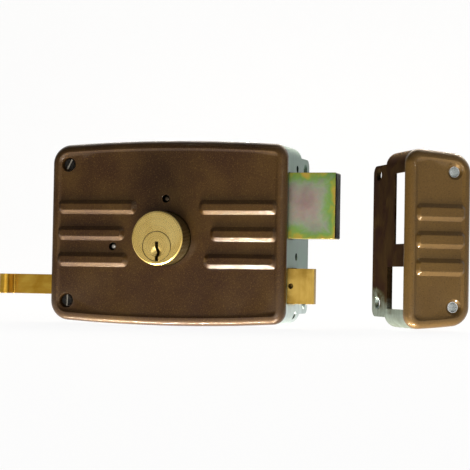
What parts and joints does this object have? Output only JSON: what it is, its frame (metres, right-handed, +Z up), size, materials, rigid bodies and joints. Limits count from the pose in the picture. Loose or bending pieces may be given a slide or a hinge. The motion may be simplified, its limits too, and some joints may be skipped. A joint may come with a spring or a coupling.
{
  "type": "rim box lock",
  "caption": "Surface-mounted rim lock with a ribbed painted case, a key cylinder, a thrown deadbolt, a sprung bevelled latch with a draw bar, and its box keep.",
  "frame": {"origin": "where the key's axis meets the door's face, at the centre of the back plate's tail bore", "axes": "+X from the lock towards the keep, +Y into the door, +Z up"},
  "size_m": [0.2712, 0.0739, 0.1044],
  "materials": {
    "bronze_paint": "hammered bronze metallic paint",
    "keep_paint": "hammered bronze metallic paint, a little lighter",
    "chassis_zinc": "grey-green zinc plate",
    "keep_zinc": "brown-grey plated steel",
    "yellow_zinc": "iridescent yellow zinc plate",
    "latch_brass": "brushed",
    "cylinder_brass": "turned and polished",
    "steel": "plain zinc",
    "bright_steel": "bright",
    "black_screw": "black oxide"
  },
  "bodies": {
    "case": {"chassis": "chassis_zinc", "lip_plate": "chassis_zinc", "cover": "bronze_paint", "cover_screws": "black_screw", "screw_posts": "steel", "stay_pins": "bright_steel", "bolt_guide": "steel", "cylinder_body": "cylinder_brass", "driver_pins": "bright_steel", "pin_springs": "bright_steel", "chamber_plugs": "cylinder_brass", "cylinder_posts": "steel", "cylinder_screws": "bright_steel", "pinion_bridge": "steel", "spring_stop": "steel", "lever_pivot": "steel", "friction_spring": "bright_steel", "spring_rivet": "steel"},
    "deadbolt": {"deadbolt": "yellow_zinc", "bolt_tail": "yellow_zinc", "bolt_rivets": "steel"},
    "plug": {"plug": "cylinder_brass", "key_pins": "cylinder_brass", "plug_tail": "steel", "plug_clip": "bright_steel", "drive_pinion": "steel"},
    "latch": {"latch_bolt": "latch_brass", "draw_bar": "yellow_zinc", "latch_pin": "steel", "latch_spring": "bright_steel", "lever_peg": "steel"},
    "lever": {"latch_lever": "steel"},
    "keep": {"keep_box": "keep_zinc", "keep_lip": "keep_zinc", "keep_cover": "keep_paint", "keep_sleeves": "bright_steel"}
  },
  "joints": [
    {"name": "deadbolt_slide", "type": "slide", "parent": "case", "child": "deadbolt", "axis": [1, 0, 0], "range_m": [-0.0267, 0]},
    {"name": "plug_turn", "type": "hinge", "parent": "case", "child": "plug", "pos_m": [0, 0, 0], "axis": [0, 1, 0], "range_deg": [-361, 1]},
    {"name": "latch_slide", "type": "slide", "parent": "case", "child": "latch", "axis": [1, 0, 0], "range_m": [-0.0135, 0], "stiffness_N_per_m": 300, "springref_m": 0.02, "deforming": ["latch_spring"]},
    {"name": "lever_turn", "type": "hinge", "parent": "case", "child": "lever", "pos_m": [-0.02, 0, -0.003], "axis": [0, 1, 0], "range_deg": [-1, 40]},
    {"name": "keep_swing", "type": "hinge", "parent": "case", "child": "keep", "pos_m": [0.08671, 0.08162, 0.0078], "axis": [0, 0, 1], "range_deg": [-31.75, 0]}
  ],
  "couplings": [
    {"joint": "plug_turn", "follows": "deadbolt_slide", "rad_per_m": 235.29},
    {"joint": "lever_turn", "follows": "latch_slide", "rad_per_m": -49.84}
  ]
}
